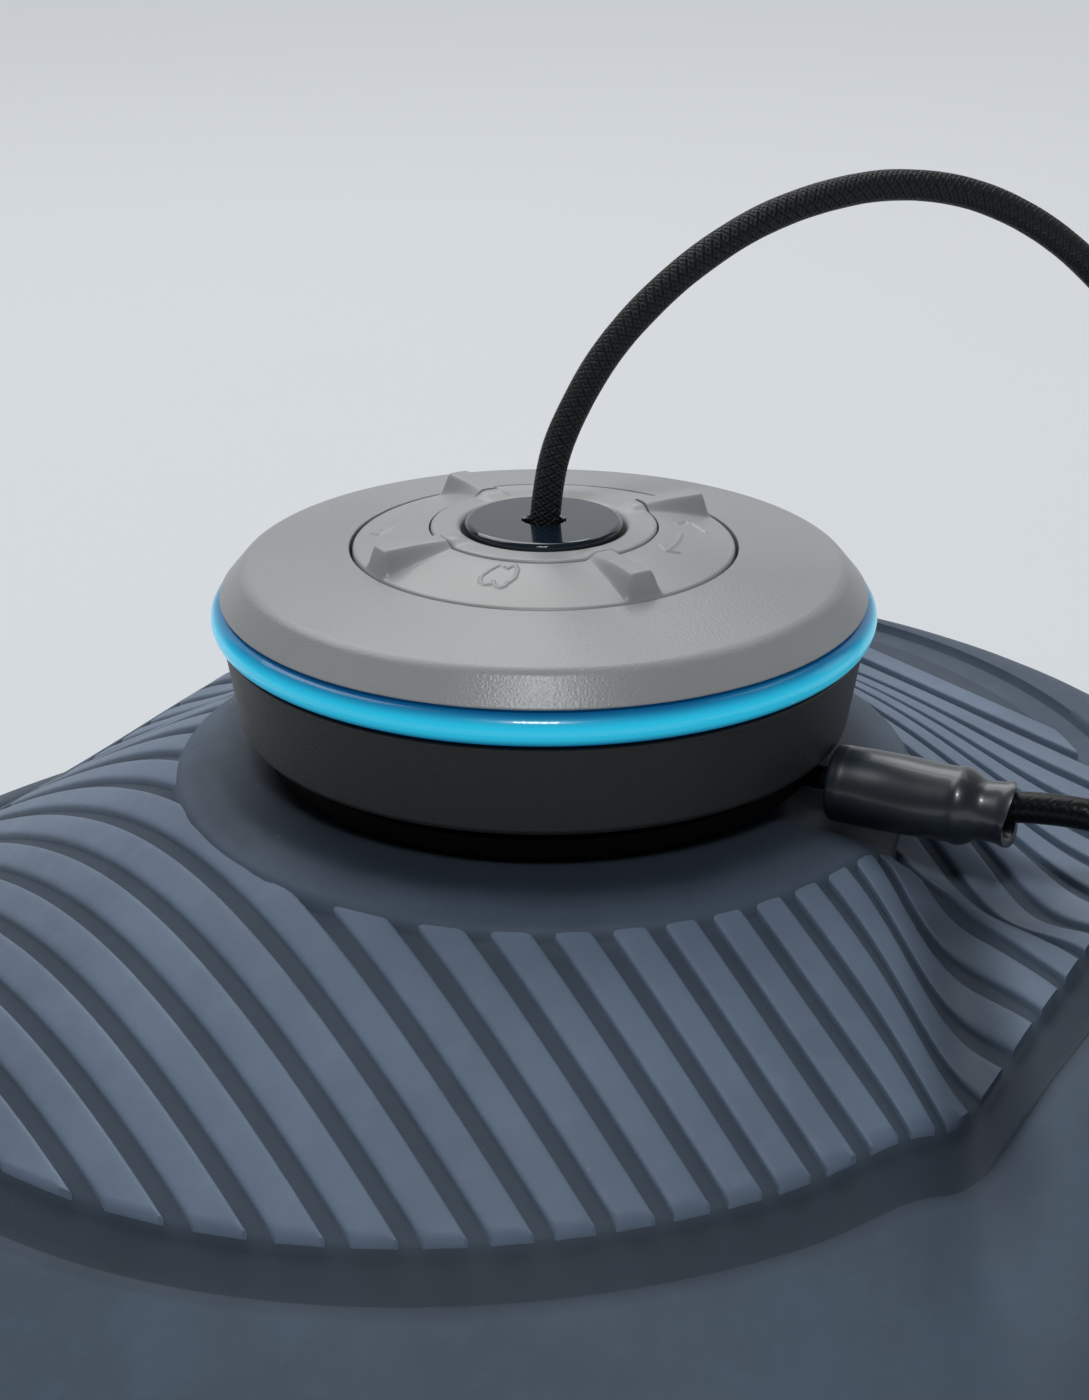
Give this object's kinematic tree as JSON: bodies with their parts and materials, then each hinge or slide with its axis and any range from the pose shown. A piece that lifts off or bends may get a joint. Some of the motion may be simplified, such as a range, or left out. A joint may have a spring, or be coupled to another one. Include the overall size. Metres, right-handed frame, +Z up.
{
  "type": "wobble cushion",
  "caption": "Round ribbed rubber wobble cushion carrying a twist-lock puck with a light ring, hub cord and side lead.",
  "frame": {"origin": "on the floor, on the puck's axis: the centre of the cushion's outline", "axes": "+Z up along the puck's axis, -Y towards the user, +X to the right, the side lead leaves 25 degrees from +X towards -Y"},
  "size_m": [0.4001, 0.3697, 0.1752],
  "materials": {
    "slate_rubber": "moulded slate blue-grey rubber, satin, with raised parallel ribs",
    "black_rubber": "matt black rubber",
    "black_plastic": "fine-grained black moulding",
    "braid": "woven black textile sleeve",
    "lead_jacket": "satin black cable jacket",
    "plug_plastic": "soft black overmould",
    "sleeve_gloss": "shrunk-on black sleeving with a soft gloss",
    "plated_metal": "bright nickel plate",
    "steel": "zinc-plated steel",
    "dark_grey_plastic": "near-black grey moulding with a fine spark texture",
    "warm_grey_plastic": "light warm-grey moulding with a fine spark texture",
    "circuit_board": "green solder mask",
    "cyan_light": "translucent cyan light guide, lit from inside",
    "gloss_black": "polished blue-black"
  },
  "bodies": {
    "cushion": {"lower_skin": "slate_rubber", "upper_skin": "slate_rubber", "rim_bead": "slate_rubber", "grip_ring": "black_rubber", "valve_body": "black_plastic", "hub_cord": "braid", "hub_cord_coil": "braid", "hub_cord_tail": "braid", "hub_cord_plug": "plug_plastic", "hub_cord_plug_tip": "plated_metal", "side_lead": "lead_jacket", "side_lead_coil": "lead_jacket", "side_lead_tail": "lead_jacket", "side_lead_plug": "plug_plastic", "side_lead_plug_shell": "plated_metal"},
    "puck": {"clamp_plate": "steel", "base_flange": "black_plastic", "flange_screw_1": "steel", "flange_screw_2": "steel", "flange_screw_3": "steel", "flange_screw_4": "steel", "lower_housing": "dark_grey_plastic", "light_ring": "cyan_light", "led_board": "circuit_board", "control_board": "circuit_board", "top_cover": "warm_grey_plastic", "cover_screw_1": "steel", "cover_screw_2": "steel", "cover_screw_3": "steel", "cover_screw_4": "steel", "board_screw_1": "steel", "board_screw_2": "steel", "board_screw_3": "steel", "dial_seal": "black_rubber", "hub_core": "dark_grey_plastic", "cord_ferrule": "steel", "button_spring": "steel", "lead_socket": "black_plastic", "lead_sleeve": "sleeve_gloss"},
    "dial": {"dial": "warm_grey_plastic", "dial_collar": "warm_grey_plastic", "lock_ring": "dark_grey_plastic", "dial_screw_1": "steel", "dial_screw_2": "steel", "dial_screw_3": "steel"},
    "hub_button": {"hub_button": "gloss_black", "collet": "steel"},
    "valve_plug": {"valve_plug": "black_plastic"}
  },
  "joints": [
    {"name": "cushion_tilt", "type": "hinge", "parent": "cushion", "child": "puck", "pos_m": [0, 0, 0.03], "axis": [0, 1, 0], "range_deg": [-5, 5], "stiffness_Nm_per_rad": 60, "deforming": ["upper_skin", "hub_cord", "side_lead"]},
    {"name": "dial_turn", "type": "hinge", "parent": "puck", "child": "dial", "pos_m": [0, 0, 0.117], "axis": [0, 0, 1], "range_deg": [0, 60]},
    {"name": "hub_press", "type": "slide", "parent": "puck", "child": "hub_button", "axis": [0, 0, -1], "range_m": [0, 0.002], "stiffness_N_per_m": 600, "deforming": ["button_spring"]},
    {"name": "valve_pull", "type": "slide", "parent": "cushion", "child": "valve_plug", "axis": [0, 0, -1], "range_m": [0, 0.006]}
  ]
}
